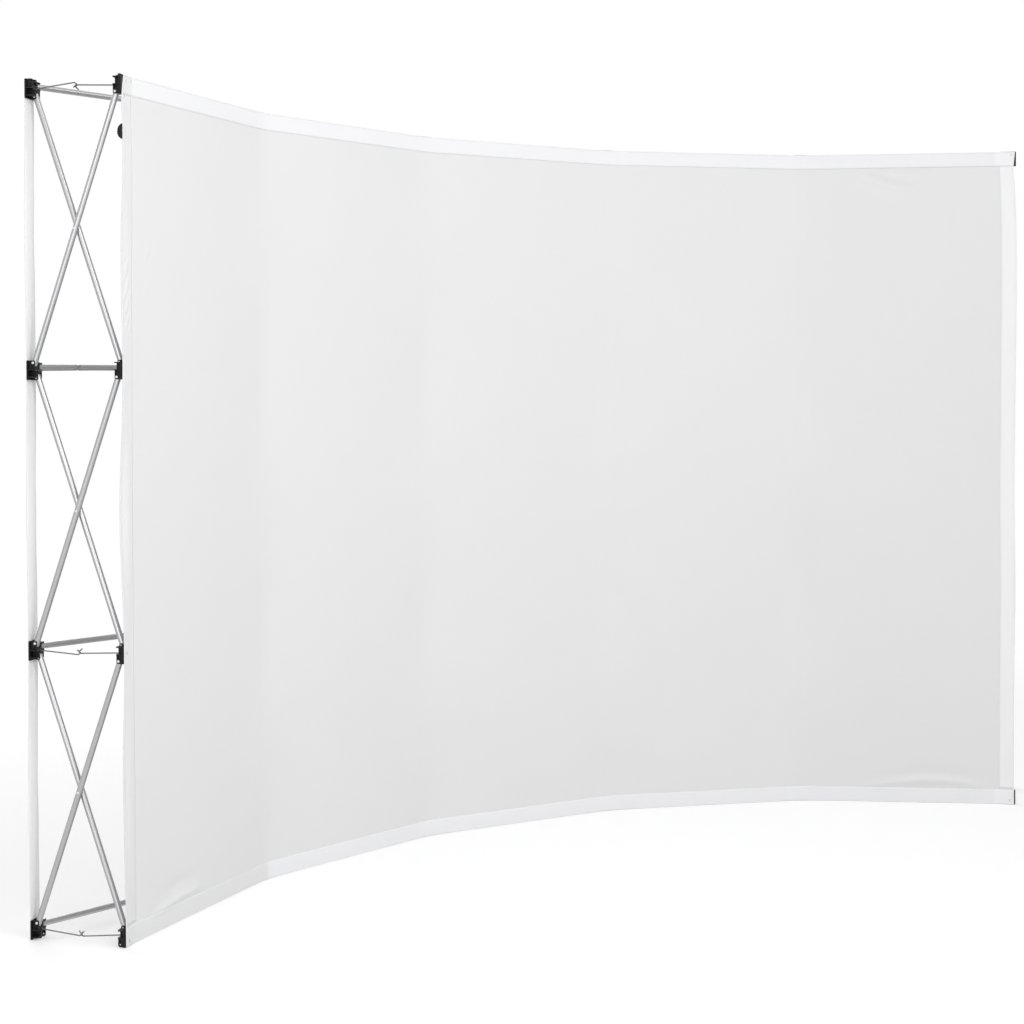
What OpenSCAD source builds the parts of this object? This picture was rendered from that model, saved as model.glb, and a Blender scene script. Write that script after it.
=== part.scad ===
// Pop-up display backwall: a curved folding lattice of tubes and hubs, three bays high and
// five bays wide, with one stretch-fabric panel on its hollow side.
// X runs along the width, Y through the depth with the panel side facing -Y, and Z is up.
// The origin is on the floor, under the middle of the whole object.

/* [Frame] */
// Height from one row of hubs to the next
row_pitch = 735; // [500:5:950]
// Distance between neighbouring hubs on the hollow side
front_pitch = 710; // [500:5:900]
// Depth between the pins of the front hubs and the pins of the rear hubs
frame_depth = 239; // [160:1:320]
// Turn of the wall from one column to the next, in degrees
bay_angle = 17.8; // [4:0.1:24]

/* [Hubs] */
// Side of the square face plate
hub_size = 51; // [50:0.5:62]
// Distance from the pins to the outer face of the plate
plate_reach = 15.5; // [15:0.5:22]
// Thickness of the face plate
plate_t = 3.5; // [2:0.25:5]
// Radius of the face plate's corners
plate_corner = 3; // [1:0.5:6]
// Distance from the pins to the inner ends of the cheeks
cheek_reach = 5.5; // [4.5:0.5:9]
// Thickness of a cheek
cheek_t = 3; // [2:0.25:3.5]
// Radius of the cheeks' rounded corners
cheek_corner = 5; // [2:0.5:6]
// Distance from the hub's centre to a tube pin
pin_reach = 19; // [17.5:0.5:20]

/* [Tubes] */
// Outer diameter of a tube
tube_d = 16; // [12:0.5:17]
// Wall of a tube
tube_wall = 1.2; // [0.8:0.1:2]
// Length of tube past the pin at each end
tube_past = 8; // [6:0.5:8.5]
// Thickness of the flange on a tube's end plug
plug_flange = 1.2; // [0.8:0.1:2]
// Length of a plug's shank inside the tube
plug_shank = 18; // [14:1:30]
// Diameter of the pins and rivets
pin_d = 4; // [3:0.25:5]
// Diameter of a pin's head
head_d = 7; // [6:0.25:8]
// Thickness of a pin's head
head_t = 1.5; // [1:0.1:1.5]
// Thickness of the washer between two crossing tubes
washer_t = 1; // [0.6:0.1:1.4]
// Diameter of that washer
washer_d = 12; // [9:0.5:14]

/* [Hooks] */
// Diameter of the steel wire
wire_d = 3.6; // [3:0.1:4]
// Gap between a fixed hook and the swinging hook beside it
wire_gap = 0.4; // [0.3:0.1:1]
// How far each hook's bend passes the middle of the frame
hook_lap = 3; // [2:0.5:10]
// Run of a hook's first bend along the wire
bend_run = 6; // [4:0.5:12]
// Rise of a hook's first bend
bend_rise = 4.5; // [4:0.5:10]
// Run of a hook's return leg
return_run = 9; // [6:0.5:16]
// Rise of a hook's return leg
return_rise = 7; // [5:0.5:12]
// Diameter of the pin that a swinging hook turns on
arm_pin_d = 3; // [2:0.25:3]
// Outer diameter of the eye at the end of a swinging hook
arm_eye_d = 8; // [6.5:0.5:8]
// Thickness of that eye, flattened from the wire
arm_eye_t = 3; // [2:0.25:3.25]
// Distance from the tube pins' plane inwards to the swinging hook's pin
arm_pin_inset = 3; // [2:0.25:3]

/* [Panel] */
// Thickness of the stretch fabric
fabric_t = 1; // [0.6:0.1:2]
// Gap from the floor to the fabric's lower edge
fabric_floor_gap = 3; // [1:0.5:20]
// Distance from the top of the hubs down to the fabric's upper edge
fabric_top_drop = 1; // [0:0.5:20]
// Fabric past the centre of the end hubs
fabric_overhang = 18; // [10:0.5:22]
// Width of the sewn hem tape
hem_w = 50; // [30:1:80]
// Thickness of the hem tape
hem_t = 0.6; // [0.4:0.1:1]
// Side of a hook-and-loop pad
pad_size = 40; // [24:1:46]
// Thickness of a hook-and-loop pad
pad_t = 2; // [1:0.1:3]

/* [End pieces] */
// Width of the tape on the rear end hubs
strip_w = 50; // [30:1:50]
// Thickness of that tape
strip_t = 1.2; // [0.6:0.1:2]
// Distance from the hubs' top and bottom to the ends of the tape
strip_inset = 2; // [0:0.5:20]
// Height of the edge grip
grip_h = 39; // [30:1:60]
// Depth of the edge grip
grip_depth = 16; // [8:0.5:18]
// Width of the edge grip
grip_w = 14; // [10:0.5:16]
// Distance from the top hub's centre down to the edge grip's centre
grip_drop = 118; // [60:1:200]

/* [Hidden] */
$fn = 48;

// The lattice has this many columns and rows of hub pairs
columns = 6;
rows = 4;

// Clearances
slot_clear = 0.25;   // each side of a tube in its slot
pin_clear = 0.05;    // round a pin or rivet
head_clear = 0.2;    // round a pin's head that sits in a recess
plug_clear = 0.05;   // round a plug's shank
arm_clear = 0.3;     // each side of a swinging hook in its slot
pad_gap = 0.3;       // between a pad and the fabric
eps = 0.5;           // how far a cut runs past a face

// Radii of the arcs on which the pins lie
front_r = front_pitch / (2 * sin(bay_angle / 2));
rear_r = front_r + frame_depth;
end_angle = (columns - 1) / 2 * bay_angle;

// Hub
slot_w = tube_d + 2 * slot_clear;
slot_offset = (tube_d + washer_t) / 2;
core = 7.5;                          // half side of the solid middle of a hub
block_w = slot_w + 2 * cheek_t;
cheek_span = plate_reach - plate_t + cheek_reach;
hub_top = hub_size + (rows - 1) * row_pitch;

// Column scissor: pin to pin, in the plane of a column
column_rise = row_pitch - 2 * pin_reach;
column_len = norm([frame_depth, column_rise]);

// Row scissor: pin to pin, in a level plane
function chord(r) = 2 * (r * sin(bay_angle / 2) - pin_reach * cos(bay_angle / 2));
front_chord = chord(front_r);
rear_chord = chord(rear_r);
row_run = (front_chord + rear_chord) / 2;
row_depth = frame_depth * cos(bay_angle / 2);
row_len = norm([row_run, row_depth]);
row_front_y = front_r * cos(bay_angle / 2) + pin_reach * sin(bay_angle / 2);
// Distance from the middle of a row tube to its rivet, towards the front end
row_rivet_shift = row_len * (rear_chord / (front_chord + rear_chord) - 0.5);
row_rivet_y = row_front_y + row_depth * front_chord / (front_chord + rear_chord);

// Panel: distances from the arc's centre, from the pads to the front of the hem
pad_r = front_r - plate_reach;
panel_back_r = pad_r - pad_t - pad_gap;
panel_front_r = panel_back_r - fabric_t;
hem_front_r = panel_front_r - hem_t;
fabric_z0 = fabric_floor_gap;
fabric_z1 = hub_top - fabric_top_drop;

// Hooks: places across a hub and tilt of each row's swinging hook, bottom row first
wire_side = (wire_d + wire_gap) / 2;
arm_tilt = [-5, -4, 0, 6];
rod_tilt = [-6, -2.5, 0, 3];         // of each row's fixed hook, out of its hub's inner face
bend_up = [1, 1, 1, -1];
arm_reach = frame_depth / 2 - arm_pin_inset + hook_lap;
rod_reach = frame_depth / 2 + hook_lap;
rod_root = 8;                        // length of fixed hook inside its hub
arm_slot_down = core;
arm_slot_up = 4.5;

// The middle of the object in Y lies on the origin
rear_face_r = rear_r + plate_reach;
y_max = rear_face_r * cos(bay_angle / 2) + hub_size / 2 * sin(bay_angle / 2);
y_min = min(
  pad_r * cos(end_angle) - hub_size / 2 * sin(end_angle),
  hem_front_r * cos(end_angle) - fabric_overhang * sin(end_angle)
);
y_shift = -(y_min + y_max) / 2;

function column_angle(k) = (k - (columns - 1) / 2) * bay_angle;
function row_z(j) = hub_size / 2 + j * row_pitch;
// Plan point at column k, at distance r from the arc's centre and t along the tangent
function plan(k, t, r) = [
  r * sin(column_angle(k)) + t * cos(column_angle(k)),
  r * cos(column_angle(k)) - t * sin(column_angle(k)) + y_shift
];

// Column frame: X along the tangent, Y away from the arc's centre
module at_column(k) translate([0, y_shift, 0]) rotate([0, 0, -column_angle(k)]) children();
module at_bay(k) translate([0, y_shift, 0]) rotate([0, 0, -column_angle(k) - bay_angle / 2])
  children();
module at_rear_hub(k, j) at_column(k) translate([0, rear_r, row_z(j)]) children();
module at_front_hub(k, j) at_column(k) translate([0, front_r, row_z(j)]) rotate([0, 0, 180])
  children();

// ---- Hubs: moulded, the same front and rear but for the hook's seat ----

// A square with round corners, drawn from squares and discs
module rounded_square(side, r) {
  square([side, side - 2 * r], center = true);
  square([side - 2 * r, side], center = true);
  for (x = [-1, 1], y = [-1, 1]) translate([x, y] * (side / 2 - r)) circle(r = r);
}

// Side view of a pair of cheeks: outwards along X, from the inner ends up to the plate
module cheek_profile() {
  reach = hub_size / 2;
  translate([0, -cheek_reach]) square([reach - cheek_corner, cheek_span + eps]);
  translate([0, cheek_corner - cheek_reach]) square([reach, cheek_span - cheek_corner + eps]);
  translate([reach - cheek_corner, cheek_corner - cheek_reach]) circle(r = cheek_corner);
}

// One clevis block, pointing along +X with its slot on the +Z side of the hub's centre
module clevis_block() translate([0, 0, slot_offset - block_w / 2])
  linear_extrude(block_w) cheek_profile();

// The slot, the pin's hole and the recess for the pin's inner head
module clevis_cut() {
  translate([core, -cheek_reach - eps, slot_offset - slot_w / 2])
    cube([hub_size, cheek_span + eps, slot_w]);
  translate([pin_reach, 0, slot_offset - block_w])
    cylinder(d = pin_d + 2 * pin_clear, h = 2 * block_w);
  translate([pin_reach, 0, slot_offset - block_w / 2 - head_t - head_clear])
    cylinder(d = head_d + 2 * head_clear, h = head_t + head_clear);
}

// Four clevises set round the hub like a pinwheel; Y points to the outer face
module hub_blank() {
  difference() {
    union() {
      translate([0, plate_reach, 0]) rotate([90, 0, 0]) linear_extrude(plate_t)
        rounded_square(hub_size, plate_corner);
      for (turn = [0 : 90 : 270]) rotate([0, turn, 0]) clevis_block();
    }
    for (turn = [0 : 90 : 270]) rotate([0, turn, 0]) clevis_cut();
  }
}

// A fixed hook's frame: it leaves the middle of a front hub's inner face along -Y
module at_rod(j) translate([-wire_side, -cheek_reach, 0]) rotate([-rod_tilt[j], 0, 0]) children();

module front_hub(j) difference() {
  hub_blank();
  at_rod(j) translate([0, rod_root, 0]) rotate([90, 0, 0]) cylinder(d = wire_d, h = rod_root + eps);
}

module rear_hub() difference() {
  hub_blank();
  translate([-wire_side - wire_d / 2 - arm_clear, -cheek_reach - eps, -arm_slot_down])
    cube([
      wire_d + 2 * arm_clear,
      cheek_reach + eps - arm_pin_inset + arm_eye_d / 2 + arm_clear,
      arm_slot_down + arm_slot_up
    ]);
  translate([-core, -arm_pin_inset, 0]) rotate([0, 90, 0]) cylinder(d = arm_pin_d, h = 2 * core);
}

module front_hubs() color([0.10, 0.10, 0.11]) each_front() front_hub($row);
module rear_hubs() color([0.10, 0.10, 0.11]) each_rear() rear_hub();
module each_front() for (k = [0 : columns - 1], $row = [0 : rows - 1])
  at_front_hub(k, $row) children();
module each_rear() for (k = [0 : columns - 1], j = [0 : rows - 1]) at_rear_hub(k, j) children();

// ---- Tubes: along Z from pin to pin, with their cross holes along X ----

module tube(len, rivet_at) {
  full = len + 2 * (tube_past - plug_flange);
  difference() {
    translate([0, 0, -full / 2]) cylinder(d = tube_d, h = full);
    translate([0, 0, -full / 2 - eps]) cylinder(d = tube_d - 2 * tube_wall, h = full + 2 * eps);
    for (z = [-len / 2, rivet_at, len / 2]) translate([-tube_d, 0, z]) rotate([0, 90, 0])
      cylinder(d = pin_d + 2 * pin_clear, h = 2 * tube_d);
  }
}

// Flanged plug in each end of a tube
module plugs(len) for (side = [0, 180]) rotate([side, 0, 0]) difference() {
  translate([0, 0, len / 2 + tube_past]) rotate([180, 0, 0]) {
    cylinder(d = tube_d, h = plug_flange);
    cylinder(d = tube_d - 2 * tube_wall - 2 * plug_clear, h = plug_flange + plug_shank);
  }
  translate([-tube_d, 0, len / 2]) rotate([0, 90, 0])
    cylinder(d = pin_d + 2 * pin_clear, h = 2 * tube_d);
}

// Column tubes lie in the plane of a column, row tubes in a level plane
module each_column_tube(side) for (k = [0 : columns - 1], j = [0 : rows - 2]) at_column(k)
  translate([side * slot_offset, front_r + frame_depth / 2, row_z(j) + row_pitch / 2])
    rotate([-atan2(side * frame_depth, column_rise), 0, 0]) children();
module each_row_tube(side) for (k = [0 : columns - 2], j = [0 : rows - 1]) at_bay(k)
  translate([
    side * (front_chord - rear_chord) / 4,
    row_front_y + row_depth / 2,
    row_z(j) + side * slot_offset
  ])
    rotate([0, 0, -side * atan2(row_depth, row_run)]) rotate([0, 90, 0]) children();

module column_tubes_near() color([0.74, 0.75, 0.77]) each_column_tube(-1) tube(column_len, 0);
module column_tubes_far() color([0.74, 0.75, 0.77]) each_column_tube(1) tube(column_len, 0);
module row_tubes_upper() color([0.74, 0.75, 0.77]) each_row_tube(1) tube(row_len, row_rivet_shift);
module row_tubes_lower() color([0.74, 0.75, 0.77]) each_row_tube(-1) tube(row_len, -row_rivet_shift);
module column_tube_plugs() color([0.12, 0.12, 0.13]) for (side = [-1, 1])
  each_column_tube(side) plugs(column_len);
module row_tube_plugs() color([0.12, 0.12, 0.13]) for (side = [-1, 1])
  each_row_tube(side) plugs(row_len);

// ---- Pins, rivets and washers ----

// A headed pin along X, centred on the origin, with grip between its two heads
module headed_pin(grip) {
  translate([-grip / 2, 0, 0]) rotate([0, 90, 0]) cylinder(d = pin_d, h = grip);
  for (side = [0, 180]) rotate([0, 0, side]) translate([grip / 2, 0, 0]) rotate([0, 90, 0]) {
    cylinder(d = head_d, h = head_t / 2);
    translate([0, 0, head_t / 2]) cylinder(d1 = head_d, d2 = head_d - head_t, h = head_t / 2);
  }
}

module column_hub_pins() color([0.80, 0.80, 0.82]) for (side = [-1, 1], end = [-1, 1])
  for (k = [0 : columns - 1], j = [0 : rows - 2]) at_column(k)
    translate([
      side * slot_offset,
      front_r + (end * side + 1) / 2 * frame_depth,
      row_z(j) + row_pitch / 2 + end * column_rise / 2
    ]) headed_pin(block_w);

module row_hub_pins() color([0.80, 0.80, 0.82]) for (side = [-1, 1], end = [-1, 1])
  for (k = [0 : columns - 2], j = [0 : rows - 1]) at_bay(k)
    translate([
      end * (end * side < 0 ? rear_chord : front_chord) / 2,
      row_front_y + (end * side < 0 ? row_depth : 0),
      row_z(j) + side * slot_offset
    ]) rotate([0, 90, 0]) headed_pin(block_w);

module at_column_crossings() for (k = [0 : columns - 1], j = [0 : rows - 2]) at_column(k)
  translate([0, front_r + frame_depth / 2, row_z(j) + row_pitch / 2]) children();
module at_row_crossings() for (k = [0 : columns - 2], j = [0 : rows - 1]) at_bay(k)
  translate([0, row_rivet_y, row_z(j)]) rotate([0, 90, 0]) children();

module scissor_rivet() headed_pin(2 * tube_d + washer_t);
module scissor_washer() translate([-washer_t / 2, 0, 0]) rotate([0, 90, 0]) difference() {
  cylinder(d = washer_d, h = washer_t);
  translate([0, 0, -eps]) cylinder(d = pin_d + 2 * pin_clear, h = washer_t + 2 * eps);
}
module column_scissor_rivets() color([0.80, 0.80, 0.82]) at_column_crossings() scissor_rivet();
module row_scissor_rivets() color([0.80, 0.80, 0.82]) at_row_crossings() scissor_rivet();
module column_scissor_washers() color([0.15, 0.15, 0.16]) at_column_crossings() scissor_washer();
module row_scissor_washers() color([0.15, 0.15, 0.16]) at_row_crossings() scissor_washer();

// ---- Hooks ----

// Straight wire from a to b, both [y, z], with a round end at b
module wire(a, b) {
  d = b - a;
  translate([0, a[0], a[1]]) rotate([-atan2(d[0], d[1]), 0, 0]) {
    cylinder(d = wire_d, h = norm(d));
    translate([0, 0, norm(d)]) sphere(d = wire_d);
  }
}

// A wire along -Y from start, with a V bend at its end; up is 1 or -1
module hook(start, reach, up) {
  straight_end = [bend_run - reach, 0];
  tip = [-reach, up * bend_rise];
  end = [return_run - reach, up * (bend_rise + return_rise)];
  wire([start, 0], straight_end);
  wire(straight_end, tip);
  wire(tip, end);
}

module front_hook_rods() color([0.62, 0.63, 0.65]) for (k = [0 : columns - 1], j = [0 : rows - 1])
  at_front_hub(k, j) at_rod(j) hook(rod_root, rod_reach - cheek_reach, bend_up[j]);

module hook_arm(k, j) color([0.62, 0.63, 0.65]) at_rear_hub(k, j)
  translate([-wire_side, -arm_pin_inset, 0]) rotate([-arm_tilt[j], 0, 0]) difference() {
    union() {
      hook(-arm_eye_d / 4, arm_reach, bend_up[j]);
      translate([-arm_eye_t / 2, 0, 0]) rotate([0, 90, 0]) cylinder(d = arm_eye_d, h = arm_eye_t);
    }
    translate([-wire_d, 0, 0]) rotate([0, 90, 0])
      cylinder(d = arm_pin_d + 2 * pin_clear, h = 2 * wire_d);
  }

module hook_arm_pins() color([0.80, 0.80, 0.82]) each_rear()
  translate([-core, -arm_pin_inset, 0]) rotate([0, 90, 0]) cylinder(d = arm_pin_d, h = 2 * core);

// ---- Panel: flat over each column's pads and straight from column to column ----

pad_half = pad_size / 2;
// Both ends of each flat stretch over the pads, at distance r from the arc's centre
function panel_line(r) = [
  for (k = [0 : columns - 1], end = [-1, 1])
    let (edge = (k == 0 && end < 0) || (k == columns - 1 && end > 0))
      plan(k, end * (edge ? fabric_overhang : pad_half), r)
];
function reversed(list) = [for (i = [len(list) - 1 : -1 : 0]) list[i]];
module panel_band(r_back, r_front, z0, z1) translate([0, 0, z0]) linear_extrude(z1 - z0)
  polygon(concat(panel_line(r_back), reversed(panel_line(r_front))));

module graphic_panel() color([0.93, 0.93, 0.94])
  panel_band(panel_back_r, panel_front_r, fabric_z0, fabric_z1);

// The first stretch of a panel line, cut off at a hem's width
function side_line(r) = let (
  p = panel_line(r),
  left = hem_w - norm(p[1] - p[0])
) [p[0], p[1], p[1] + (p[2] - p[1]) * left / norm(p[2] - p[1])];

module side_hem() translate([0, 0, fabric_z0]) linear_extrude(fabric_z1 - fabric_z0)
  polygon(concat(side_line(panel_front_r), reversed(side_line(hem_front_r))));

module panel_hem() color([0.96, 0.96, 0.96]) {
  panel_band(panel_front_r, hem_front_r, fabric_z0, fabric_z0 + hem_w);
  panel_band(panel_front_r, hem_front_r, fabric_z1 - hem_w, fabric_z1);
  side_hem();
  mirror([1, 0, 0]) side_hem();
}

module hub_pads() color([0.16, 0.16, 0.17]) each_front()
  translate([0, plate_reach + pad_t / 2, 0]) cube([pad_size, pad_t, pad_size], center = true);

// ---- Edge grip: a ribbed dome on the back of the panel's left edge ----

grip_r = (grip_h * grip_h / 4 + grip_depth * grip_depth) / (2 * grip_depth);
rib_r = 0.8;
rib_turns = [-40, -20, 0, 20, 40];
module grip_outline() intersection() {
  translate([grip_depth - grip_r, 0]) circle(r = grip_r, $fn = 96);
  translate([0, -grip_h / 2]) square([grip_depth, grip_h]);
}
module edge_grip() color([0.08, 0.08, 0.08]) at_column(0)
  translate([-fabric_overhang, panel_back_r, row_z(rows - 1) - grip_drop])
    rotate([90, 0, 90]) linear_extrude(grip_w) {
      grip_outline();
      for (turn = rib_turns) translate([grip_depth - grip_r, 0]) rotate(turn)
        translate([grip_r - rib_r / 2, 0]) circle(r = rib_r, $fn = 24);
    }

// ---- Tapes down the outer faces of the rear end hubs ----

module rear_strip(k) color([0.90, 0.90, 0.91]) at_column(k)
  translate([-strip_w / 2, rear_face_r, strip_inset])
    cube([strip_w, strip_t, hub_top - 2 * strip_inset]);
module rear_strip_left() rear_strip(0);
module rear_strip_right() rear_strip(columns - 1);

front_hubs();
rear_hubs();
column_tubes_near();
column_tubes_far();
row_tubes_upper();
row_tubes_lower();
column_tube_plugs();
row_tube_plugs();
column_hub_pins();
row_hub_pins();
column_scissor_rivets();
row_scissor_rivets();
column_scissor_washers();
row_scissor_washers();
front_hook_rods();
hook_arm_pins();
hook_arm(0, 0);  // hook_arm_c1_r1
hook_arm(0, 1);  // hook_arm_c1_r2
hook_arm(0, 2);  // hook_arm_c1_r3
hook_arm(0, 3);  // hook_arm_c1_r4
hook_arm(1, 0);  // hook_arm_c2_r1
hook_arm(1, 1);  // hook_arm_c2_r2
hook_arm(1, 2);  // hook_arm_c2_r3
hook_arm(1, 3);  // hook_arm_c2_r4
hook_arm(2, 0);  // hook_arm_c3_r1
hook_arm(2, 1);  // hook_arm_c3_r2
hook_arm(2, 2);  // hook_arm_c3_r3
hook_arm(2, 3);  // hook_arm_c3_r4
hook_arm(3, 0);  // hook_arm_c4_r1
hook_arm(3, 1);  // hook_arm_c4_r2
hook_arm(3, 2);  // hook_arm_c4_r3
hook_arm(3, 3);  // hook_arm_c4_r4
hook_arm(4, 0);  // hook_arm_c5_r1
hook_arm(4, 1);  // hook_arm_c5_r2
hook_arm(4, 2);  // hook_arm_c5_r3
hook_arm(4, 3);  // hook_arm_c5_r4
hook_arm(5, 0);  // hook_arm_c6_r1
hook_arm(5, 1);  // hook_arm_c6_r2
hook_arm(5, 2);  // hook_arm_c6_r3
hook_arm(5, 3);  // hook_arm_c6_r4
hub_pads();
graphic_panel();
panel_hem();
edge_grip();
rear_strip_left();
rear_strip_right();
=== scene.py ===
import math

import bpy
import numpy as np
from mathutils import Matrix, Vector


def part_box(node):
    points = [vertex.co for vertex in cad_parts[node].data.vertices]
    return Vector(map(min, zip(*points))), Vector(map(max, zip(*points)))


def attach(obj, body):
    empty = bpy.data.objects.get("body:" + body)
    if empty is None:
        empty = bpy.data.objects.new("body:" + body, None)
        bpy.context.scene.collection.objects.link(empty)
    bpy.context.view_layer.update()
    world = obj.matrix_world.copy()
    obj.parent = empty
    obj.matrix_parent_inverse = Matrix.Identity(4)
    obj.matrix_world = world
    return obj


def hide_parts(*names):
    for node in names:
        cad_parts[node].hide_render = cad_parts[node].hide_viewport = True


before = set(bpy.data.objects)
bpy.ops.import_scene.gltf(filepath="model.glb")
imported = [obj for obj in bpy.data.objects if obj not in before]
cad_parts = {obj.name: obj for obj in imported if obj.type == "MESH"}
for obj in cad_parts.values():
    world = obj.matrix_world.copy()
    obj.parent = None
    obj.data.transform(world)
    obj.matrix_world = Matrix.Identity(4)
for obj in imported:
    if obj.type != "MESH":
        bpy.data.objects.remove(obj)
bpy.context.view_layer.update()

# ---- Hubs ----
# Square black nylon mouldings that join the tubes at every corner of a bay, front and rear.
# They are injection moulded with a fine spark-eroded grain, and rubbed paler on their raised faces.


class Shade:
    """An output in a material's node tree. Sums and products on it add Math nodes."""

    def __init__(self, tree, socket=None):
        self.tree, self.socket = tree, socket

    def node(self, kind, settings, inputs, output=0):
        """Adds a node of a type, with its settings first and then its sockets' values or links."""
        made = self.tree.nodes.new("ShaderNode" + kind)
        for name, value in settings.items():
            setattr(made, name, value)
        for name, value in inputs.items():
            if isinstance(value, Shade):
                self.tree.links.new(value.socket, made.inputs[name])
            else:
                made.inputs[name].default_value = value
        return Shade(self.tree, made.outputs[output] if made.outputs else None)

    def maths(self, operation, *others):
        return self.node("Math", {"operation": operation}, dict(enumerate((self, *others))))

    def __add__(self, other):
        return self.maths("ADD", other)

    def __sub__(self, other):
        return self.maths("SUBTRACT", other)

    def __rsub__(self, other):
        return self.node("Math", {"operation": "SUBTRACT"}, {0: other, 1: self})

    def __mul__(self, other):
        return self.maths("MULTIPLY", other)

    def __pow__(self, other):
        return self.maths("POWER", other)

    __radd__ = __add__
    __rmul__ = __mul__


def mixed(share, first, second):
    """One colour turning into another as share goes from 0 to 1."""
    sockets = {0: share, 6: first, 7: second}
    return share.node("Mix", {"data_type": "RGBA"}, sockets, output=2)


def grain(place, scale, detail=2.0, roughness=0.5):
    """Soft random patches from 0 to 1, so many to the metre."""
    sockets = {"Vector": place, "Scale": scale, "Detail": detail, "Roughness": roughness}
    return place.node("TexNoise", {}, sockets)


def between(value, low, high):
    """0 below low, 1 above high and a smooth rise between."""
    sockets = {"Value": value, "From Min": low, "From Max": high}
    return value.node("MapRange", {"interpolation_type": "SMOOTHSTEP"}, sockets)


def on_piece(shade):
    """A point's place on the piece at rest, in metres, which moves with the piece."""
    return shade.node("TexCoord", {}, {}, output=3)


def parts_of(place):
    """A place's x, y and z."""
    return [place.node("SeparateXYZ", {}, {"Vector": place}, output=i) for i in range(3)]


def raised(height, depth, strength=1.0):
    """The surface normal over a relief of this depth in metres."""
    return height.node("Bump", {}, {"Strength": strength, "Distance": depth, "Height": height})


def new_finish(name):
    """An empty material, and the Shade that its nodes start from."""
    material = bpy.data.materials.new(name)
    material.use_nodes = True
    material.node_tree.nodes.clear()
    return material, Shade(material.node_tree)


def surface(shade, **sockets):
    """The material's one glossy or dull surface, with its sockets named in Python's way."""
    inputs = {name.replace("_", " "): value for name, value in sockets.items()}
    shell = shade.node("BsdfPrincipled", {}, inputs)
    shade.node("OutputMaterial", {}, {"Surface": shell})


def repaint(node_names, material):
    """Gives CAD nodes a better material."""
    for name in node_names:
        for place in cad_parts[name].material_slots:
            place.material = material


nylon, shade = new_finish("hub_nylon_black")
spot = on_piece(shade)
spark = grain(spot, 2600, 1.0)
cloud = grain(spot, 38, 3.0)
rubbed = between(grain(spot, 210, 4.0, 0.6), 0.56, 0.74)
surface(shade,
        Base_Color=mixed(rubbed * 0.55 + cloud * 0.2,
                         (0.0065, 0.0065, 0.007, 1), (0.026, 0.026, 0.028, 1)),
        Roughness=0.38 + cloud * 0.12 + rubbed * 0.14,
        Specular_IOR_Level=0.24,
        Normal=raised(spark, 0.00004, 0.5))
repaint(["front_hubs", "rear_hubs"], nylon)

# ---- Tubes ----
# Thin round aluminium tubes, cut to two lengths, drilled through and crossed in pairs as scissors.
# They are drawn, so fine lines run along them, and satin anodised.

row_pitch = 0.735
frame_depth = 0.239  # from the front hubs' pins to the rear hubs'
column_lean = frame_depth / row_pitch  # how far a column's tube goes in or out per metre of height
arc_middle_y = -2.065033  # the middle of the arc on which the columns stand
lines_per_metre, lines_per_radian = 2600, 5600


def round_the_arc(place):
    """How far round the arc a place is, in radians from its middle."""
    x, y, _ = parts_of(place)
    return x.maths("ARCTAN2", y - arc_middle_y)


def aluminium(name, lean=None):
    """Satin aluminium whose fine lines run along a row, or along a column's tubes at their lean."""
    material, shade = new_finish(name)
    spot = on_piece(shade)
    x, y, z = parts_of(spot)
    turn = round_the_arc(spot)
    if lean is None:
        lines = {"X": z * lines_per_metre, "Y": turn * 4, "Z": 0.0}
    else:
        from_middle = (x * x + (y - arc_middle_y) ** 2) ** 0.5
        across_tube = from_middle + z * lean
        lines = {"X": turn * lines_per_radian, "Y": z * 3, "Z": across_tube * lines_per_metre}
    drawn = grain(shade.node("CombineXYZ", {}, lines), 1.0, 2.0)
    cloud = grain(spot, 5.5, 3.0)
    rubs = between(grain(spot, 90, 5.0, 0.65), 0.62, 0.78)
    surface(shade,
            Base_Color=mixed(drawn * 0.35 + cloud * 0.45,
                             (0.415, 0.417, 0.423, 1), (0.52, 0.522, 0.530, 1)),
            Metallic=0.92,
            Roughness=0.27 + drawn * 0.07 + rubs * 0.08,
            Normal=raised(drawn, 0.00001, 0.3))
    return material


repaint(["column_tubes_near"], aluminium("tube_satin_aluminium_near", column_lean))
repaint(["column_tubes_far"], aluminium("tube_satin_aluminium_far", -column_lean))
repaint(["row_tubes_upper", "row_tubes_lower"], aluminium("tube_satin_aluminium_rows"))

# ---- Tube end plugs and crossing washers ----
# Black nylon plugs pushed into the tube ends, and thin nylon washers between crossing tubes.
# Both are moulded smooth, and a little paler where the pins and tubes rub them.

plug_nylon, shade = new_finish("plug_nylon_black")
spot = on_piece(shade)
cloud = grain(spot, 160, 3.0)
surface(shade,
        Base_Color=mixed(cloud, (0.014, 0.014, 0.015, 1), (0.036, 0.036, 0.038, 1)),
        Roughness=0.42 + cloud * 0.15,
        Normal=raised(grain(spot, 1800, 1.0), 0.00003, 0.4))
repaint(["column_tube_plugs", "row_tube_plugs", "column_scissor_washers", "row_scissor_washers"],
        plug_nylon)

# ---- Pins and rivets ----
# Steel pins through the hubs' cheeks, and rivets where two tubes cross, all with small round heads.
# They are headed cold and zinc plated, bright but a little cloudy.

zinc, shade = new_finish("rivet_zinc_plated_steel")
spot = on_piece(shade)
cloud = grain(spot, 420, 3.0, 0.6)
tarnish = between(grain(spot, 33, 2.0), 0.5, 0.8)
surface(shade,
        Base_Color=mixed(cloud * 0.6 + tarnish * 0.4, (0.80, 0.80, 0.81, 1), (0.60, 0.60, 0.60, 1)),
        Metallic=1.0,
        Roughness=0.24 + cloud * 0.14 + tarnish * 0.12,
        Normal=raised(cloud, 0.00005, 0.4))
repaint(["column_hub_pins", "row_hub_pins", "column_scissor_rivets", "row_scissor_rivets",
         "hook_arm_pins"], zinc)

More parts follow.
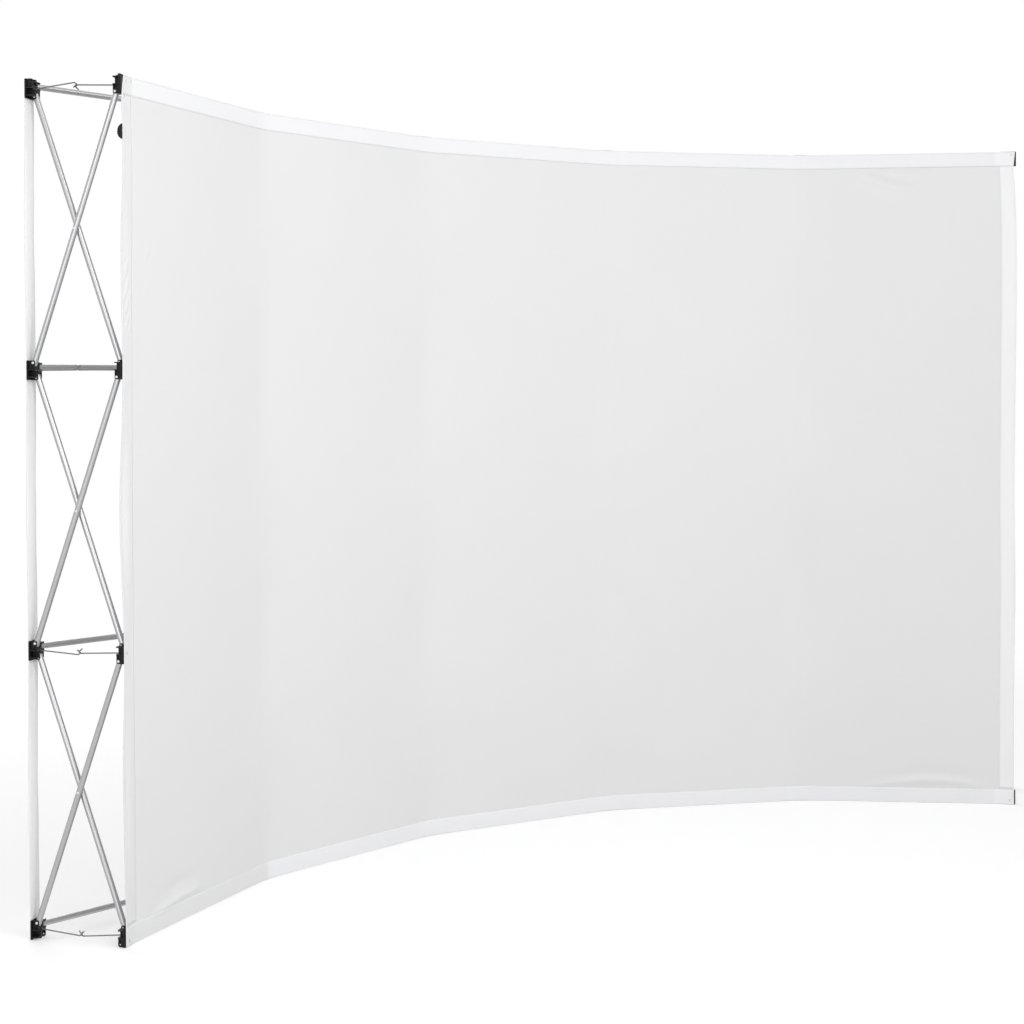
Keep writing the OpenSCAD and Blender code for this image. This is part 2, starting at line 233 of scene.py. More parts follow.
# ---- Hooks ----
# Steel wire, one fixed in each front hub and one swinging on a pin in each rear hub, which catch
# one another in the middle. The wire is drawn, bent cold and zinc plated.

wire, shade = new_finish("hook_drawn_steel_wire")
spot = on_piece(shade)
cloud = grain(spot, 260, 3.0, 0.6)
bands = grain(spot, 24, 2.0)
surface(shade,
        Base_Color=mixed(cloud * 0.5 + bands * 0.4, (0.24, 0.24, 0.245, 1), (0.15, 0.15, 0.153, 1)),
        Metallic=0.95,
        Roughness=0.30 + cloud * 0.16,
        Normal=raised(cloud, 0.00004, 0.4))
swinging = sorted(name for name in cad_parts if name.startswith("hook_arm_c"))
repaint(["front_hook_rods", *swinging], wire)

# ---- Hook pads ----
# A square of black hook tape stuck on the face of every front hub, which grips the fabric's back.
# It is woven nylon, covered with rows of tiny stiff hooks.


def ripple(place, pitch):
    """A wave from -1 to 1 along one direction, with this pitch in metres."""
    return (place * (2 * math.pi / pitch)).maths("SINE")


hook_tape, shade = new_finish("pad_hook_tape_black")
spot = on_piece(shade)
z = parts_of(spot)[2]
rows_of_hooks = ripple(z, 0.0016) * 0.5 + 0.5
hooks = grain(spot, 900, 1.0) * 0.6 + rows_of_hooks * 0.4
surface(shade,
        Base_Color=mixed(hooks, (0.008, 0.008, 0.009, 1), (0.045, 0.045, 0.047, 1)),
        Roughness=0.62 + hooks * 0.2,
        Normal=raised(hooks, 0.0005, 0.7))
repaint(["hub_pads"], hook_tape)

# ---- Fabric panel ----
# One sheet of white stretch knit that covers the hollow side of the wall, drawn tight over the
# columns. It lies flat on each column's pads and runs straight between them; near its corners
# and down its left edge the tension leaves soft folds and gathers.

bay_turn = math.radians(17.8)
column_count = 6
front_pitch = 0.710
front_arc = front_pitch / (2 * math.sin(bay_turn / 2))  # radius on which the front hubs' pins lie
lowest_row = 0.0255  # height of the lowest hubs' middles
plate_reach = 0.0155  # from a hub's pins to its outer face
pad_and_gap = 0.0023  # a hook pad and the gap between it and the cloth
pad_half = 0.020
sheet_overhang = 0.018  # cloth past the middle of the left end hubs
right_overhang = 0.024
sheet_thickness = 0.001
sheet_front_arc = front_arc - plate_reach - pad_and_gap - sheet_thickness
sheet_low, sheet_high = 0.001, 2.255
kink_softness = 0.012  # how far round a kink the cloth bends
hem_width = 0.050


def in_plan(column, along, arc):
    """A point in plan, at a column, so far along the tangent and so far from the arc's middle."""
    turn = (column - (column_count - 1) / 2) * bay_turn
    return (arc * math.sin(turn) + along * math.cos(turn),
            arc * math.cos(turn) - along * math.sin(turn) + arc_middle_y)


sheet_line = np.array([
    in_plan(column, reach, sheet_front_arc)
    for column in range(column_count)
    for reach in (-sheet_overhang if column == 0 else -pad_half,
                  right_overhang if column == column_count - 1 else pad_half)
])
sheet_stops = np.concatenate([[0], np.cumsum(np.linalg.norm(np.diff(sheet_line, axis=0), axis=1))])
sheet_length = float(sheet_stops[-1])
column_stops = [(sheet_stops[2 * k] + sheet_stops[2 * k + 1]) / 2 for k in range(column_count)]


def sheet_plan(s):
    """Points in plan at distances s from the left end, with the kinks at the pads rounded."""
    beyond = 0.2  # the line is carried on past both ends, so that they stay straight
    first_run, last_run = sheet_stops[1], sheet_stops[-1] - sheet_stops[-2]
    first = sheet_line[0] - (sheet_line[1] - sheet_line[0]) / first_run * beyond
    last = sheet_line[-1] + (sheet_line[-1] - sheet_line[-2]) / last_run * beyond
    stops = np.concatenate([[-beyond], sheet_stops, [sheet_length + beyond]])
    line = np.concatenate([[first], sheet_line, [last]])
    nearby = [
        np.stack([np.interp(s + step, stops, line[:, axis]) for axis in (0, 1)], axis=-1)
        for step in np.linspace(-kink_softness, kink_softness, 9)
    ]
    return np.mean(nearby, axis=0)


def sheet_facing(s):
    """The unit direction in plan that the cloth faces, towards the hollow side."""
    step = 0.002
    run = sheet_plan(s + step) - sheet_plan(s - step)
    run /= np.linalg.norm(run, axis=-1, keepdims=True)
    return np.stack([run[..., 1], -run[..., 0]], axis=-1)


def fold(s, z, line, height, width):
    """A soft ridge along a line of (s, z) points, highest half way and fading at both ends."""
    line = np.array(line, float)
    count, rounds = 40, 6
    t = np.linspace(0, len(line) - 1, count)
    line = np.stack([np.interp(t, np.arange(len(line)), line[:, i]) for i in (0, 1)], axis=1)
    for _ in range(rounds):
        line[1:-1] = (line[:-2] + line[1:-1] * 2 + line[2:]) / 4
    best = np.full(s.shape, np.inf)
    share = np.zeros(s.shape)
    for i in range(count - 1):
        a, step = line[i], line[i + 1] - line[i]
        along = ((s - a[0]) * step[0] + (z - a[1]) * step[1]) / (step @ step)
        along = np.clip(along, 0, 1)
        gap = np.hypot(s - a[0] - along * step[0], z - a[1] - along * step[1])
        nearer = gap < best
        best = np.where(nearer, gap, best)
        share = np.where(nearer, (i + along) / (count - 1), share)
    return height * np.exp(-((best / width) ** 2)) * np.sin(np.pi * share) ** 0.8


def smooth_step(value, low, high):
    """0 below low, 1 above high and a smooth rise between, on numbers."""
    t = np.clip((value - low) / (high - low), 0, 1)
    return t * t * (3 - 2 * t)


def hump(value, middle, width):
    """1 at the middle and falling away smoothly on both sides."""
    return np.exp(-(((value - middle) / width) ** 2))


right = sheet_length
# Each fold: points along it, how proud it stands and half its width
sheet_folds = [
    # at the lower and the upper right corner
    ([(right - 0.520, 0.050), (right - 0.420, 0.069), (right - 0.310, 0.079), (right - 0.190, 0.076),
      (right - 0.070, 0.052)], 0.0042, 0.013),
    ([(right - 0.500, 0.085), (right - 0.310, 0.110), (right - 0.090, 0.086)], -0.0018, 0.017),
    ([(right - 0.535, 2.196), (right - 0.440, 2.158), (right - 0.330, 2.134)], -0.0030, 0.010),
    ([(right - 0.535, 2.172), (right - 0.440, 2.134), (right - 0.330, 2.110)], -0.0024, 0.028),
    ([(right - 0.480, 2.196), (right - 0.380, 2.188), (right - 0.270, 2.186)], -0.0018, 0.009),
    # at the lower and the upper left corner
    ([(0.120, 0.048), (0.235, 0.063), (0.380, 0.070)], 0.0042, 0.010),
    ([(0.150, 0.092), (0.262, 0.106), (0.400, 0.106)], -0.0028, 0.017),
    ([(0.062, 0.030), (0.060, 0.090), (0.056, 0.170)], -0.0020, 0.008),
    ([(0.030, 2.215), (0.044, 2.150), (0.050, 2.060)], -0.0016, 0.007),
    # short slanting pulls beside the left hem
    ([(0.106, 2.036), (0.121, 2.060), (0.134, 2.084)], 0.0016, 0.005),
    ([(0.120, 2.030), (0.135, 2.054), (0.148, 2.078)], 0.0012, 0.005),
    ([(0.106, 1.780), (0.120, 1.803), (0.132, 1.826)], 0.0014, 0.005),
    ([(0.100, 1.676), (0.114, 1.700), (0.126, 1.722)], 0.0012, 0.005),
]
# Slanting gathers in the left hem: from and to this height, pitch, slope and how proud
hem_gathers = [
    (1.830, 1.985, 0.0175, 0.9, 0.0012),
    (1.560, 1.800, 0.047, 2.1, 0.0016),
    (0.900, 1.300, 0.083, 3.0, 0.0005),
    (0.300, 0.620, 0.071, -2.4, 0.0005),
]
left_roll_heights = [0, 0.4, 1.13, 1.5, 1.9, 2.03]
left_rolls = [0.005, 0.006, 0.0095, 0.006, 0.004, 0]
right_roll = 0.0016
left_roll_reach, right_roll_reach = 0.048, 0.026
hem_dip, hem_dip_place, hem_dip_width = 0.0011, 0.030, 0.012
gather_place, gather_width, gather_fade = 0.024, 0.015, 0.05
kink_pull, kink_pull_width = 0.009, 0.085
pucker_height, pucker_width = 0.00035, 0.012
slow_wave = 0.0012


def slack(s, z):
    """How far the cloth stands off its straight line, towards the hollow side, in metres."""
    off = np.zeros(np.broadcast(s, z).shape)
    s, z = np.broadcast_arrays(s, z)
    between_rows = np.sin(np.pi * (z - lowest_row) / row_pitch) ** 2
    for stop in column_stops[1:-1]:  # the pull on each inner kink, where no pad holds it
        off = off + kink_pull * hump(s, stop, kink_pull_width) * between_rows
    for line, height, width in sheet_folds:
        off = off + fold(s, z, line, height, width)
    from_left, from_right = s, sheet_length - s
    # the side hems roll back a little between the hubs, with a dip along their stitching
    left_roll = np.interp(z, left_roll_heights, left_rolls)
    for edge, roll, reach in ((from_left, left_roll, left_roll_reach),
                              (from_right, right_roll, right_roll_reach)):
        off = off - roll * between_rows * (1 - smooth_step(edge, 0.0, reach)) ** 2
        off = off + hem_dip * hump(edge, hem_dip_place, hem_dip_width) * between_rows
    for low, high, pitch, slope, height in hem_gathers:
        inside = (smooth_step(z, low, low + gather_fade)
                  * (1 - smooth_step(z, high - gather_fade, high)))
        wave = np.sin(2 * np.pi * (z - slope * from_left) / pitch + 0.9 * np.sin(z * 31))
        off = off + height * inside * hump(from_left, gather_place, gather_width) * wave
    # the long seams pucker faintly, and the whole sheet has slow uneven tension
    for edge in (z - sheet_low, sheet_high - z):
        pucker = np.sin(s * 171 + 1.3 * np.sin(s * 23)) * np.sin(s * 61 + 2)
        off = off + pucker_height * pucker * hump(edge, hem_width, pucker_width)
    return off + slow_wave * np.sin(s * 4.1 + 1.0) * np.sin(z * 3.3 + 0.4) * between_rows


left_pull_heights = [0.0, 0.3, 1.0, 1.7, 1.95, 2.12, 2.19, 2.225, 2.255]
left_pulls = [-0.004, -0.004, -0.006, -0.003, 0.003, 0.004, -0.002, 0.004, 0.011]
right_pull_heights = [0.0, 0.35, 0.6, 0.74, 1.1, 1.49, 1.75, 2.0, 2.14, 2.2, 2.255]
right_pulls = [-0.003, -0.003, 0.0, 0.002, -0.002, 0.002, 0.006, 0.004, -0.002, -0.007, -0.002]
left_pull_reach, right_pull_reach = 0.10, 0.12


def end_pull(s, z):
    """How far to the right the cloth's two ends are drawn at a height, in metres."""
    at_left = np.interp(z, left_pull_heights, left_pulls)
    at_right = np.interp(z, right_pull_heights, right_pulls)
    return (at_left * (1 - smooth_step(s, 0, left_pull_reach))
            + at_right * smooth_step(s, sheet_length - right_pull_reach, sheet_length))


def on_sheet(s, z, proud=0.0):
    """Points on the cloth's front at (s, z), or proud of it."""
    s, z = np.broadcast_arrays(np.asarray(s, float), np.asarray(z, float))
    placed = s + end_pull(s, z)
    plan = sheet_plan(placed) + sheet_facing(placed) * (slack(s, z) + proud)[..., None]
    return np.concatenate([plan, z[..., None]], axis=-1)


def stops_along(*pieces):
    """Rising values from (start, end, step) pieces, joined."""
    values = [np.linspace(a, b, max(2, round((b - a) / step) + 1)) for a, b, step in pieces]
    return np.unique(np.round(np.concatenate(values), 6))


def mesh_piece(name, points, faces, smooth=True):
    """A new mesh object in the scene."""
    data = bpy.data.meshes.new(name)
    data.from_pydata([tuple(p) for p in points], [], [tuple(int(i) for i in f) for f in faces])
    data.update()
    piece = bpy.data.objects.new(name, data)
    bpy.context.scene.collection.objects.link(piece)
    if smooth:
        data.shade_smooth()
    return piece


def closed_layer(front, back):
    """Points and faces of a thin closed layer between two equal grids of points."""
    rows, columns = front.shape[:2]
    count = rows * columns
    index = np.arange(count).reshape(rows, columns)
    quads = np.stack([index[:-1, :-1], index[:-1, 1:], index[1:, 1:], index[1:, :-1]], axis=-1)
    quads = quads.reshape(-1, 4)
    rim = np.concatenate([index[0, :], index[1:, -1], index[-1, -2::-1], index[-2:0:-1, 0]])
    after = np.roll(rim, -1)
    sides = np.stack([after, rim, rim + count, after + count], axis=-1)
    points = np.concatenate([front.reshape(-1, 3), back.reshape(-1, 3)])
    return points, np.concatenate([quads, quads[:, ::-1] + count, sides])


across = stops_along((0, 0.07, 0.004), (0.07, 0.16, 0.005), (0.16, 0.45, 0.012),
                     (0.45, right - 0.55, 0.016), (right - 0.55, right - 0.06, 0.011),
                     (right - 0.06, right, 0.005),
                     *((stop - 0.036, stop + 0.036, 0.006) for stop in column_stops[1:-1]))
upward = stops_along((sheet_low, 0.15, 0.005), (0.15, 0.32, 0.010), (0.32, 1.55, 0.018),
                     (1.55, 2.0, 0.006), (2.0, 2.1, 0.012), (2.1, sheet_high, 0.005))
s_grid, z_grid = np.meshgrid(across, upward)
sheet_front = on_sheet(s_grid, z_grid)
sheet_back = on_sheet(s_grid, z_grid, -sheet_thickness)
panel = mesh_piece("fabric_panel", *closed_layer(sheet_front, sheet_back))

knit, shade = new_finish("panel_white_stretch_knit")
spot = on_piece(shade)
z = parts_of(spot)[2]
turned = round_the_arc(spot) * sheet_front_arc
wale = (ripple(turned, 0.0011) * 0.5 + 0.5) ** 0.7
course = ripple(z, 0.0008) * 0.5 + 0.5
loops = wale * 0.6 + course * 0.4
uneven = grain(spot, 1.6, 3.0)
slub = grain(shade.node("CombineXYZ", {}, {"X": turned * 9, "Y": z * 420, "Z": 0.0}), 1.0, 2.0)
cloth_tone = loops * 0.25 + slub * 0.35 + uneven * 0.4
surface(shade,
        Base_Color=mixed(cloth_tone, (0.795, 0.795, 0.800, 1), (0.845, 0.845, 0.852, 1)),
        Roughness=0.86 + loops * 0.08,
        Specular_IOR_Level=0.25,
        Sheen_Weight=0.08,
        Sheen_Roughness=0.5,
        Normal=raised(loops, 0.00012, 0.5))
panel.data.materials.append(knit)
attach(panel, "panel")
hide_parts("graphic_panel")

# ---- Hem tape ----
# A white tape 50 mm wide sewn flat round the face of the panel, and the rolled edge outside it.
# The long strips run full width over the side strips. The tape down the left edge and under the
# first bay is painted as grey as the cloth, a painted shade for the light that the rolled-back left
# hem and the low corner by the floor miss. The strip down the right edge is painted paler: painted
# light.

tape_thickness = 0.0004
roll_radius = 0.0019
long_proud = tape_thickness * 1.6  # how proud the long strips stand, over the side strips
strip_share = 0.98  # of the hem's width, which leaves room for the rolled edge
strip_inset = 0.001
strip_sunk = 0.0001
roll_proud = 0.0002


def strip(s_values, z_values, proud):
    """A thin strip of tape over part of the sheet, sunk a little into the cloth at its back."""
    s_grid, z_grid = np.meshgrid(s_values, z_values)
    front = on_sheet(s_grid, z_grid, proud)
    back = on_sheet(s_grid, z_grid, proud - tape_thickness - strip_sunk)
    return closed_layer(front, back)


def joined(*layers):
    """Several points-and-faces pairs as one."""
    points, faces, count = [], [], 0
    for some_points, some_faces in layers:
        points.append(np.asarray(some_points, float))
        faces += [tuple(int(i) + count for i in face) for face in some_faces]
        count += len(some_points)
    return np.concatenate(points), faces


def tube_round(line, radius, out, sides=8):
    """A closed round bead along a closed line of points, out being the bead's outward direction."""
    run = np.roll(line, -1, axis=0) - np.roll(line, 1, axis=0)
    run /= np.linalg.norm(run, axis=1, keepdims=True)
    third = np.cross(run, out)
    third /= np.linalg.norm(third, axis=1, keepdims=True)
    out = np.cross(third, run)
    turns = np.arange(sides) * 2 * np.pi / sides
    points = (line[:, None] + radius * (np.cos(turns)[None, :, None] * out[:, None]
                                        + np.sin(turns)[None, :, None] * third[:, None]))
    rings = len(line)
    faces = [(i * sides + j, i * sides + (j + 1) % sides,
              (i + 1) % rings * sides + (j + 1) % sides, (i + 1) % rings * sides + j)
             for i in range(rings) for j in range(sides)]
    return points.reshape(-1, 3), faces


long_rows = np.linspace(0, hem_width, 9) * strip_share
side_rows = upward[(upward > hem_width + 0.002) & (upward < sheet_high - hem_width + 0.001)]
tape_layers = [
    strip(across, sheet_low + strip_inset + long_rows, long_proud),
    strip(across, sheet_high - hem_width + long_rows, long_proud),
    strip(np.linspace(strip_inset, hem_width, 13), side_rows, tape_thickness),
    strip(right - hem_width + np.linspace(0, hem_width - strip_inset, 13), side_rows,
          tape_thickness),
]
edge_s = np.concatenate([across[1:-1], np.full(len(upward), right - roll_radius),
                         across[-2:0:-1], np.full(len(upward), roll_radius)])
edge_z = np.concatenate([np.full(len(across) - 2, sheet_low + roll_radius), upward,
                         np.full(len(across) - 2, sheet_high - roll_radius), upward[::-1]])
edge_s = np.clip(edge_s, roll_radius, right - roll_radius)
edge_z = np.clip(edge_z, sheet_low + roll_radius, sheet_high - roll_radius)
edge_line = on_sheet(edge_s, edge_z, roll_proud)
# points nearer than 0.1 mm to the one before them are left out
apart = np.concatenate([[True], np.linalg.norm(np.diff(edge_line, axis=0), axis=1) > 1e-4])
edge_line = edge_line[apart]
edge_out = np.concatenate([sheet_facing(edge_s[apart]), np.zeros((len(edge_line), 1))], axis=1)
tape_layers.append(tube_round(edge_line, roll_radius, edge_out))
hem = mesh_piece("hem_tape", *joined(*tape_layers))

tape_white, shade = new_finish("hem_white_tape")
spot = on_piece(shade)
z = parts_of(spot)[2]
turned = round_the_arc(spot) * sheet_front_arc
ribs = ripple(turned, 0.0016) * ripple(z, 0.0016)
nap = grain(spot, 700, 2.0)
long_tone = mixed(nap * 0.6 + grain(spot, 6, 2.0) * 0.4,
                  (0.875, 0.876, 0.900, 1), (0.925, 0.926, 0.950, 1))
# Painted light: the strip down the right edge is coloured paler than the long strips of the same tape,
# standing in for the brighter light it shows
lit_right_strip_start, lit_right_strip_full = 1.715, 1.735
at_lit_right_strip = between(turned, lit_right_strip_start, lit_right_strip_full)
tape_tone_and_painted_light = mixed(at_lit_right_strip, long_tone, (0.945, 0.946, 0.965, 1))
first_bay_shade_run = 0.675  # how much further the painted shade goes along the bottom
# Painted shade: the tape down the left edge and along the bottom of the first bay is coloured as grey as
# the cloth, where the rolled-back hem and the low corner get less light
left_end = -(column_count - 1) / 2 * bay_turn * sheet_front_arc - sheet_overhang
painted_shade_end = left_end + hem_width
bottom_shade_run = (1 - between(z, 0.06, 0.09)) * first_bay_shade_run
past_painted_shade = between(turned - bottom_shade_run, painted_shade_end - 0.004, painted_shade_end + 0.012)
surface(shade,
        Base_Color=mixed(past_painted_shade, (0.832, 0.832, 0.840, 1), tape_tone_and_painted_light),
        Roughness=0.88,
        Specular_IOR_Level=0.2,
        Sheen_Weight=0.1,
        Normal=raised(ribs * 0.3 + nap * 0.7, 0.00015, 0.5))
hem.data.materials.append(tape_white)
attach(hem, "panel")
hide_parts("panel_hem")

# ---- Stitching ----
# Two rows of white lockstitch hold the hem tape all round, and short bars of grey thread lock the
# cloth at its corners and at the second row of hubs, where the pull is greatest.

stitch_pitch, stitch_run, stitch_wide, stitch_proud = 0.0050, 0.0038, 0.0008, 0.00035
bar_pitch, bar_run, bar_wide, bar_proud, bar_count = 0.0010, 0.0024, 0.0011, 0.0007, 8
bar_slant = 0.12
outer_row, inner_row = 0.006, hem_width - 0.0035  # how far in from the edge the stitches run
bar_places = [(0.017, 2.241), (0.046, 2.243), (0.014, 2.200), (0.014, 0.762), (0.017, 0.014),
              (right - 0.012, 2.244), (right - 0.014, 0.014)]


def beads(s, z, run_s, run_z, length, width, proud):
    """Closed thread beads on the tape, each centred at (s, z) and lying along (run_s, run_z)."""
    half = ((length / 2, 0), (0, width / 2), (-length / 2, 0), (0, -width / 2))
    rim = [on_sheet(s + run_s * a - run_z * b, z + run_z * a + run_s * b, long_proud)
           for a, b in half]
    head = on_sheet(s, z, long_proud + proud)
    foot = on_sheet(s, z, tape_thickness * 0.4)
    points = np.stack([*rim, head, foot], axis=1).reshape(-1, 3)
    one = np.array([(0, 1, 4), (1, 2, 4), (2, 3, 4), (3, 0, 4),
                    (1, 0, 5), (2, 1, 5), (3, 2, 5), (0, 3, 5)])
    return points, (one[None] + 6 * np.arange(len(s))[:, None, None]).reshape(-1, 3)


stitch_layers = []
for inset in (outer_row, inner_row):
    run = np.arange(inset, right - inset, stitch_pitch)
    rise = np.arange(sheet_low + inset, sheet_high - inset, stitch_pitch)
    for z in (sheet_low + inset, sheet_high - inset):
        stitch_layers.append(beads(run, np.full(run.shape, z), 1.0, 0.0,
                                   stitch_run, stitch_wide, stitch_proud))
    for s in (inset, right - inset):
        stitch_layers.append(beads(np.full(rise.shape, s), rise, 0.0, 1.0,
                                   stitch_run, stitch_wide, stitch_proud))
stitches = mesh_piece("hem_stitches", *joined(*stitch_layers), smooth=False)

bar_steps = (np.arange(bar_count) - (bar_count - 1) / 2) * bar_pitch
bars = [beads(np.full(bar_count, s), z + bar_steps, 1.0, bar_slant, bar_run, bar_wide, bar_proud)
        for s, z in bar_places]
bar_tacks = mesh_piece("bar_tacks", *joined(*bars), smooth=False)

for piece, name, pale, deep in ((stitches, "thread_white", 0.90, 0.80),
                                (bar_tacks, "thread_grey", 0.10, 0.05)):
    thread, shade = new_finish(name)
    spot = on_piece(shade)
    x, y, z = parts_of(spot)
    twist = ripple(x + y + z, 0.0006) * 0.5 + 0.5
    surface(shade,
            Base_Color=mixed(twist * 0.6 + grain(spot, 60, 2.0) * 0.4,
                             (pale, pale, pale, 1), (deep, deep, deep, 1)),
            Roughness=0.6,
            Normal=raised(twist, 0.0001, 0.5))
    piece.data.materials.append(thread)
    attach(piece, "panel")

# ---- Edge grip ----
# A black rubber finger grip on the back of the panel's left edge, near the top, for pulling the
# panel off. It is a moulded half dome with cross ribs and a thin sewn foot.

grip_low, grip_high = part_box("edge_grip")
grip_width, grip_depth, grip_half = 0.014, 0.016, 0.0195
grip_foot = 0.0016
grip_rib, rib_waves = 0.0014, 6.4  # how proud the ribs stand, and their half waves to each end
ribbed_share = 0.86  # of the dome's half height
grip_lowered = 0.004
grip_middle_z = (grip_low.z + grip_high.z) / 2 - grip_lowered
grip_arc = sheet_front_arc + sheet_thickness
levels, sides = 97, 15


def grip_section(share):
    """Half a ring of the dome at a height, from -1 at its foot to 1 at its head.

    The powers give the dome its profile: full over most of its height, and blunt in plan."""
    dome = max(0.0, 1 - abs(share) ** 2.2) ** 0.62
    depth = grip_foot + (grip_depth - grip_rib - grip_foot) * dome
    rib = 0.0
    if abs(share) < ribbed_share:
        rib = grip_rib * max(0.0, math.cos(share * math.pi * rib_waves)) ** 0.6
    half = grip_width / 2 - 0.0010 * abs(share) ** 6
    ring = []
    for j in range(sides):
        turn = math.pi * j / (sides - 1)
        out = depth * math.sin(turn) ** 0.45 + rib * math.sin(turn)
        along = -sheet_overhang + grip_width / 2 - half * math.cos(turn)
        ring.append((*in_plan(0, along, grip_arc + min(out, grip_depth)),
                     grip_middle_z + share * grip_half))
    return ring


grip_points = [point for i in range(levels) for point in grip_section(-1 + 2 * i / (levels - 1))]
grip_faces = []
for i in range(levels - 1):
    for j in range(sides):
        k = (j + 1) % sides
        grip_faces.append((i * sides + j, i * sides + k, (i + 1) * sides + k, (i + 1) * sides + j))
grip_faces += [tuple(range(sides))[::-1], tuple((levels - 1) * sides + j for j in range(sides))]
grip = mesh_piece("edge_grip_dome", grip_points, grip_faces)

rubber, shade = new_finish("grip_black_rubber")
spot = on_piece(shade)
dust = between(grain(spot, 300, 4.0, 0.6), 0.5, 0.8)
surface(shade,
        Base_Color=mixed(dust, (0.005, 0.005, 0.005, 1), (0.020, 0.020, 0.021, 1)),
        Roughness=0.5 + dust * 0.2,
        Specular_IOR_Level=0.25,
        Normal=raised(grain(spot, 2200, 1.0), 0.00005, 0.5))
grip.data.materials.append(rubber)
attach(grip, "panel")
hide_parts("edge_grip")

# ---- Rear end tapes ----
# A white woven tape hung down the outer faces of the rear hubs at each end of the wall.
# It is held at every hub and left loose between, so it cups and waves a little.

tape_half = 0.025
end_tape_thickness = 0.0012
rear_face_arc = front_arc + frame_depth + plate_reach
tape_low, tape_high = 0.002, 2.254
tape_cup = 0.00496  # how deep a loose stretch is cupped
tape_belly = 0.0018  # how far a loose stretch stands off the hubs' faces
tape_drift, tape_flutter, tape_wave = 0.0012, 0.0003, 0.0005  # sideways, and along its edges

woven, shade = new_finish("end_tape_white_woven")
spot = on_piece(shade)
z = parts_of(spot)[2]
weave = ripple(z, 0.0018) * 0.5 + 0.5
uneven = grain(spot, 14, 3.0)
surface(shade,
        Base_Color=mixed(weave * 0.3 + uneven * 0.7, (0.93, 0.93, 0.935, 1), (0.97, 0.97, 0.975, 1)),
        Roughness=0.85,
        Specular_IOR_Level=0.25,
        Subsurface_Weight=0.6,
        Subsurface_Radius=(1.0, 1.0, 1.0),
        Subsurface_Scale=0.002,
        Normal=raised(weave, 0.0002, 0.5))

z_values, t_values = np.linspace(tape_low, tape_high, 226), np.linspace(-tape_half, tape_half, 15)
for column, side in ((0, "left"), (column_count - 1, "right")):
    front, back = [], []
    for z in z_values:
        free = math.sin(math.pi * (z - lowest_row) / row_pitch) ** 2
        drift = (tape_drift * math.sin(z * 9.0 + column) + tape_flutter * math.sin(z * 23.0)) * free
        for layer, lift in ((front, 0.0), (back, end_tape_thickness)):
            ring = []
            for t in t_values:
                edge = (abs(t) / tape_half) ** 2
                off = (tape_belly - tape_cup * (1 - edge) + tape_wave * math.sin(z * 31 + t * 60) * edge)
                ring.append((*in_plan(column, t + drift, rear_face_arc + lift + off * free), z))
            layer.append(ring)
    tape = mesh_piece("rear_tape_" + side, *closed_layer(np.array(front), np.array(back)))
    tape.data.materials.append(woven)
    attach(tape, "frame")
    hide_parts("rear_strip_" + side)

# ---- Floor, light and camera ----
# A plain white studio floor that keeps the wall's soft shadow, and five large soft lamps: in front,
# on the right, low on the left, a small one near the left end and one behind. A long lens looks at
# the wall from the front left.

floor_half = 30.0
lit_reach, white_reach = 2.6, 5.0  # where the lit floor begins and ends turning into plain white


def in_view(shade):
    """1 for what the camera sees straight, in gloss or through clear material, 0 for lighting."""
    camera_ray, glossy_ray, clear_ray = (shade.node("LightPath", {}, {}, output=i) for i in (0, 3, 6))
    return camera_ray.maths("MAXIMUM", glossy_ray).maths("MAXIMUM", clear_ray)


floor = mesh_piece("studio_floor", [(-floor_half, -floor_half, 0), (floor_half, -floor_half, 0),
                                    (floor_half, floor_half, 0), (-floor_half, floor_half, 0)],
                   [(0, 1, 2, 3)], smooth=False)
floor_white, shade = new_finish("studio_floor_white")
x, y, z = parts_of(shade.node("NewGeometry", {}, {}))
far = between((x * x + y * y) ** 0.5, lit_reach, white_reach)
lit = shade.node("BsdfDiffuse", {}, {"Color": (0.75, 0.75, 0.75, 1)})
glow = shade.node("Emission", {}, {"Color": (1, 1, 1, 1), "Strength": 0.31})
near_floor = shade.node("AddShader", {}, {0: lit, 1: glow})
plain_white = shade.node("Emission", {}, {"Color": (1, 1, 1, 1), "Strength": 1.0})
shown_floor = shade.node("MixShader", {}, {0: far, 1: near_floor, 2: plain_white})
lighting_floor = shade.node("BsdfDiffuse", {}, {"Color": (0.60, 0.60, 0.60, 1)})
whole_floor = shade.node("MixShader", {}, {0: in_view(shade), 1: lighting_floor, 2: shown_floor})
shade.node("OutputMaterial", {}, {"Surface": whole_floor})
floor.data.materials.append(floor_white)

world = bpy.data.worlds.new("studio_world")
bpy.context.scene.world = world
world.use_nodes = True
world.node_tree.nodes.clear()
sky = Shade(world.node_tree)
white_view = sky.node("Background", {}, {"Color": (1, 1, 1, 1), "Strength": 1.0})
soft_light = sky.node("Background", {}, {"Color": (1, 1, 1, 1), "Strength": 0.66})
whole_sky = sky.node("MixShader", {}, {0: in_view(sky), 1: soft_light, 2: white_view})
sky.node("OutputWorld", {}, {"Surface": whole_sky})


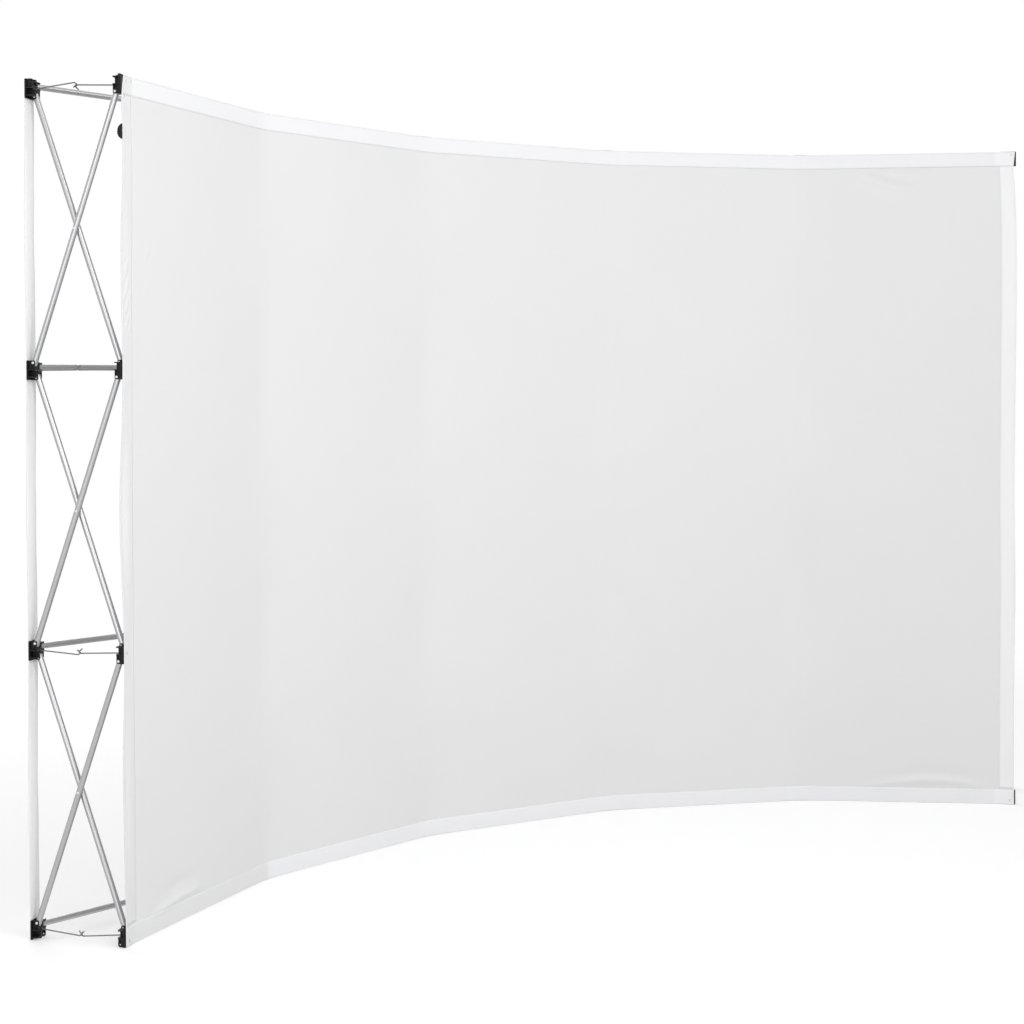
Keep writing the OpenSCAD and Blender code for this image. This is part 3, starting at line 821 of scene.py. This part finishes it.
def lamp(name, place, target, width, height, power):
    """A large soft lamp aimed at a point, with its size in metres and its power in watts."""
    light = bpy.data.lights.new(name, "AREA")
    light.shape, light.size, light.size_y, light.energy = "RECTANGLE", width, height, power
    made = bpy.data.objects.new(name, light)
    made.location = place
    made.rotation_mode = "QUATERNION"
    made.rotation_quaternion = (Vector(target) - Vector(place)).to_track_quat("-Z", "Y")
    made.visible_camera = False
    bpy.context.scene.collection.objects.link(made)


lamp("front_lamp", (0.6, -6.0, 4.2), (0.2, 0.2, 1.3), 3.2, 3.2, 77)
lamp("right_lamp", (4.6, -4.8, 3.2), (0.3, 0.2, 1.2), 3.0, 3.0, 40)
lamp("left_lamp", (-4.8, -4.8, 1.9), (-1.6, -0.3, 1.3), 3.4, 3.8, 76)
lamp("near_lamp", (-1.1, -2.6, 2.2), (-1.6, -0.3, 1.5), 2.0, 2.6, 12)
lamp("rear_lamp", (-0.8, 5.2, 4.0), (0.0, 0.3, 1.2), 3.2, 3.2, 92)

picture_side = 1024
sensor_side = 36.0
focal_px, centre_px, centre_py = 1824.8, 440.0, 420.0  # the lens and its axis in the picture
yaw, pitch, roll = 0.5186, -0.0150, -0.0037  # in radians
camera_data = bpy.data.cameras.new("camera")
camera_data.sensor_width = sensor_side
camera_data.lens = focal_px * sensor_side / picture_side
camera_data.shift_x = (picture_side / 2 - centre_px) / picture_side
camera_data.shift_y = -(picture_side / 2 - centre_py) / picture_side
camera_data.clip_end = 200.0
camera = bpy.data.objects.new("camera", camera_data)
camera.location = (-3.2302, -4.9406, 1.4329)
forward = Vector((math.sin(yaw) * math.cos(pitch), math.cos(yaw) * math.cos(pitch), math.sin(pitch)))
level = forward.cross(Vector((0, 0, 1))).normalized()
upright = level.cross(forward)
side = level * math.cos(roll) + upright * math.sin(roll)
top = upright * math.cos(roll) - level * math.sin(roll)
camera.rotation_mode = "QUATERNION"
camera.rotation_quaternion = Matrix((side, top, -forward)).transposed().to_quaternion()
bpy.context.scene.collection.objects.link(camera)
bpy.context.scene.camera = camera
bpy.context.scene.view_settings.view_transform = "Standard"
